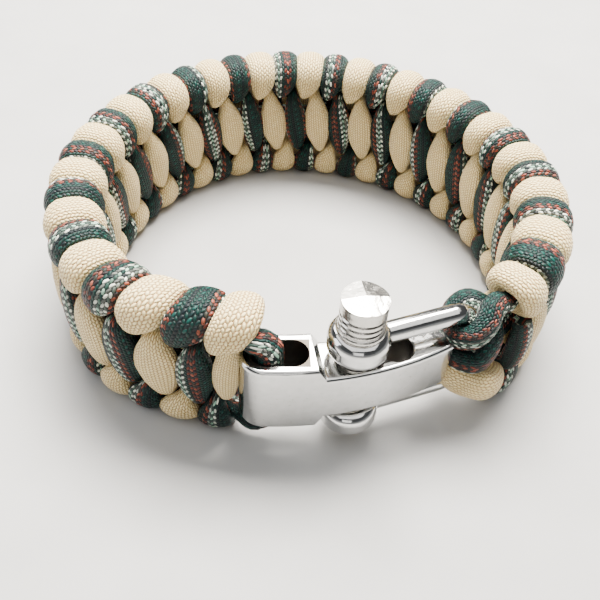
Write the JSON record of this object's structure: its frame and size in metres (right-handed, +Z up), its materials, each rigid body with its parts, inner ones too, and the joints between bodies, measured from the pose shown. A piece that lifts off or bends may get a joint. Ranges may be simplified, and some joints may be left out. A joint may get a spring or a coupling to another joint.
{
  "type": "cord bracelet",
  "caption": "Closed cord bracelet in a two-colour ladder weave, with a steel shackle, pin and adjuster bar.",
  "frame": {"origin": "on the rest surface, under the middle of the bracelet's box", "axes": "+X along the clasp, towards the bow; +Y from the clasp towards the back of the loop; +Z up, along the wrist hollow's axis"},
  "size_m": [0.0816, 0.0758, 0.0279],
  "materials": {
    "tan_cord": "braided nylon sheath",
    "camo_cord": "braided nylon sheath with light and rust flecks",
    "steel": "tumble polished stainless steel"
  },
  "bodies": {
    "root": {"weave_tan": "tan_cord", "weave_camo": "camo_cord", "core_camo": "camo_cord", "core_tan": "tan_cord", "adjuster_bar": "steel", "shackle_bow": "steel", "shackle_pin": "steel"}
  },
  "joints": []
}
